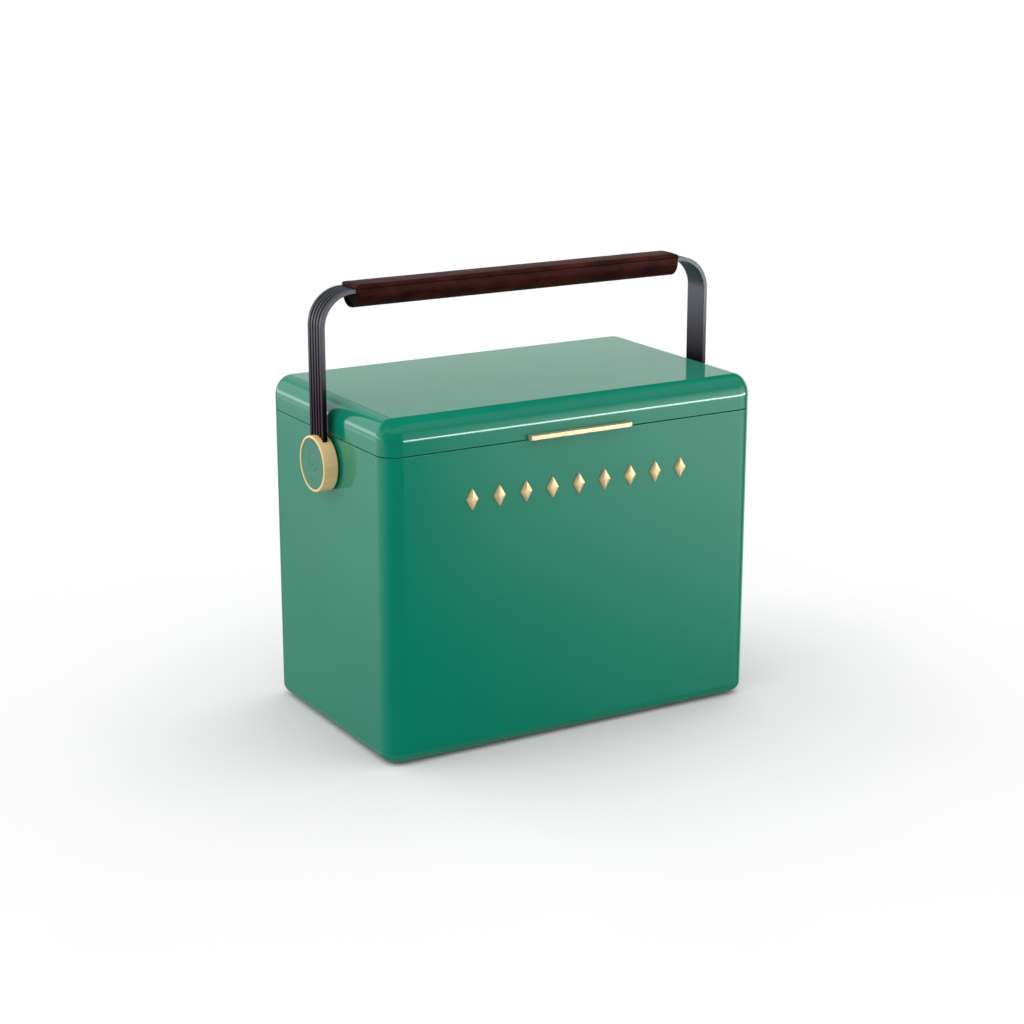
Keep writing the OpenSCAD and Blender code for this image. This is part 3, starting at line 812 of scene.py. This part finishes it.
def floor():
    mesh = bpy.data.meshes.new("floor")
    reach = 30.0
    mesh.from_pydata([(-reach, -reach, 0), (reach, -reach, 0), (reach, reach, 0), (-reach, reach, 0)],
                     [], [(0, 1, 2, 3)])
    obj = bpy.data.objects.new("floor", mesh)
    bpy.context.scene.collection.objects.link(obj)
    m = Nodes("pale_floor")
    m.link(m.ramp(m.noise(3.0, 2.0), [(0.3, (0.70, 0.70, 0.70)), (0.7, (0.72, 0.72, 0.72))]),
           m.shader.inputs["Base Color"])
    m.set(Roughness=0.9, Specular_IOR_Level=0.1)
    mesh.materials.append(m.material)
    obj.visible_glossy = False


class Sky:
    """World nodes that lay soft-edged patches of light on the sky, placed in degrees.

    Azimuth 0 is straight in front of the chest, towards -Y, and 90 is towards +X.
    """

    def __init__(self, tree):
        self.tree = tree
        split = tree.nodes.new("ShaderNodeSeparateXYZ")
        coords = tree.nodes.new("ShaderNodeTexCoord")
        tree.links.new(coords.outputs["Generated"], split.inputs["Vector"])
        forward = self.maths("MULTIPLY", split.outputs["Y"], -1.0)
        turn = self.maths("ARCTAN2", split.outputs["X"], forward)
        self.azimuth = self.maths("DEGREES", turn, 0.0)
        self.elevation = self.maths("DEGREES", self.maths("ARCSINE", split.outputs["Z"], 0.0), 0.0)

    def maths(self, operation, a, b):
        return maths_node(self.tree, operation, a, b)

    def fade(self, value, at_zero, at_one, smooth):
        node = self.tree.nodes.new("ShaderNodeMapRange")
        node.interpolation_type = "SMOOTHSTEP" if smooth else "LINEAR"
        flip = at_zero > at_one
        node.inputs["From Min"].default_value = min(at_zero, at_one)
        node.inputs["From Max"].default_value = max(at_zero, at_one)
        node.inputs["To Min"].default_value = 1.0 if flip else 0.0
        node.inputs["To Max"].default_value = 0.0 if flip else 1.0
        self.tree.links.new(value, node.inputs["Value"])
        return node.outputs["Result"]

    def patch(self, strength, around, up, smooth=False):
        """Light that rises and falls in azimuth and in elevation: four edges in degrees for each."""
        shape = strength
        for value, (start, full, wane, end) in ((self.azimuth, around), (self.elevation, up)):
            shape = self.maths("MULTIPLY", self.fade(value, start, full, smooth), shape)
            shape = self.maths("MULTIPLY", self.fade(value, end, wane, smooth), shape)
        return shape

    def total(self, base, patches):
        light = base
        for patch in patches:
            light = self.maths("ADD", patch, light)
        return light


ALL_ROUND = (-181, -180.5, 180.5, 181)


def reflected_studio(sky):
    """What the gloss picks up: two softboxes, a panel overhead, a pale backdrop and bright edges."""
    return sky.total(0.0, [
        # right-hand softbox, in front
        sky.patch(0.6, (27.5, 29.5, 60, 90), (-19, -14, 2, 30)),
        sky.patch(0.8, (28.5, 36.5, 60, 90), (-23.5, -14, 2, 30)),
        sky.patch(0.42, (23, 28, 60, 90), (-12.5, -9, 10, 24)),
        sky.patch(13.0, (24, 27.5, 68, 88), (-9.5, -7.5, -5.5, -3.5)),
        # long panel overhead, on the camera's side
        sky.patch(0.28, (-110, -90, 85, 125), (26, 34, 55, 61)),
        # left-hand softbox, behind
        sky.patch(0.93, (-171, -165, -152, -72), (-13.5, -9, 22, 29)),
        sky.patch(0.5, (-181, -180.5, -155, -120), (20, 27, 36, 41)),
        sky.patch(0.74, (-159.5, -150.5, -142.5, -50), (-21.5, -12.5, -11, -8)),
        sky.patch(0.28, (-182, -181, -130, -60), (-38, -31, -13, -9)),
        sky.patch(1.6, (-174, -166, -120, -80), (-4.5, -1.5, 1.5, 4.5)),
        # pale backdrop
        sky.patch(0.8, (96, 108, 180.5, 181), (-30, -22, 11, 18), True),
        sky.patch(0.56, (152.5, 158.5, 180.5, 181), (15.5, 19, 33, 38)),
        sky.patch(0.17, ALL_ROUND, (-92, -91, -34, -24)),
    ])


def lighting_studio(sky):
    """What lights the matt surfaces: an even tent, stronger from the two softboxes and overhead."""
    return sky.total(0.9, [
        sky.patch(0.75, (10, 60, 110, 160), (-10, 10, 50, 80), True),
        sky.patch(0.94, (-179, -160, -100, -50), (-10, 10, 50, 80), True),
        sky.patch(0.46, ALL_ROUND, (25, 75, 91, 92), True),
    ])


def studio():
    world = bpy.data.worlds.new("studio")
    bpy.context.scene.world = world
    world.use_nodes = True
    tree = world.node_tree
    sky = Sky(tree)
    path = tree.nodes.new("ShaderNodeLightPath")
    gloss = path.outputs["Is Glossy Ray"]
    seen = path.outputs["Is Camera Ray"]
    plain = sky.maths("SUBTRACT", 1.0, sky.maths("ADD", gloss, seen))
    strength = sky.total(sky.maths("MULTIPLY", seen, BACKDROP), [
        sky.maths("MULTIPLY", gloss, reflected_studio(sky)),
        sky.maths("MULTIPLY", plain, lighting_studio(sky)),
    ])
    tree.links.new(strength, tree.nodes["Background"].inputs["Strength"])
    tree.nodes["Background"].inputs["Color"].default_value = (1, 1, 1, 1)
    bpy.context.scene.view_settings.view_transform = "Standard"


def camera():
    azimuth = math.radians(-30.4)
    pitch = math.radians(15.8)
    distance = 2.04
    target = Vector((-0.003, -0.005, 0.178))
    data = bpy.data.cameras.new("camera")
    data.sensor_width = 36
    data.lens = 77.7
    data.clip_end = 200
    ahead = Vector((-math.sin(azimuth) * math.cos(pitch), math.cos(azimuth) * math.cos(pitch),
                    -math.sin(pitch)))
    obj = bpy.data.objects.new("camera", data)
    obj.location = target - ahead * distance
    obj.rotation_euler = (math.pi / 2 - pitch, 0, azimuth)
    bpy.context.scene.collection.objects.link(obj)
    bpy.context.scene.camera = obj


camera()
studio()
floor()
dress_cad_nodes()
chest_shells()
lid_seal()
pull_bar()
front_studs()
handle_strip()
grip_cap()
grip_wrap()
for side, word in ((-1, "left"), (1, "right")):
    hub(side, word)
    badge(side, word)
feet()
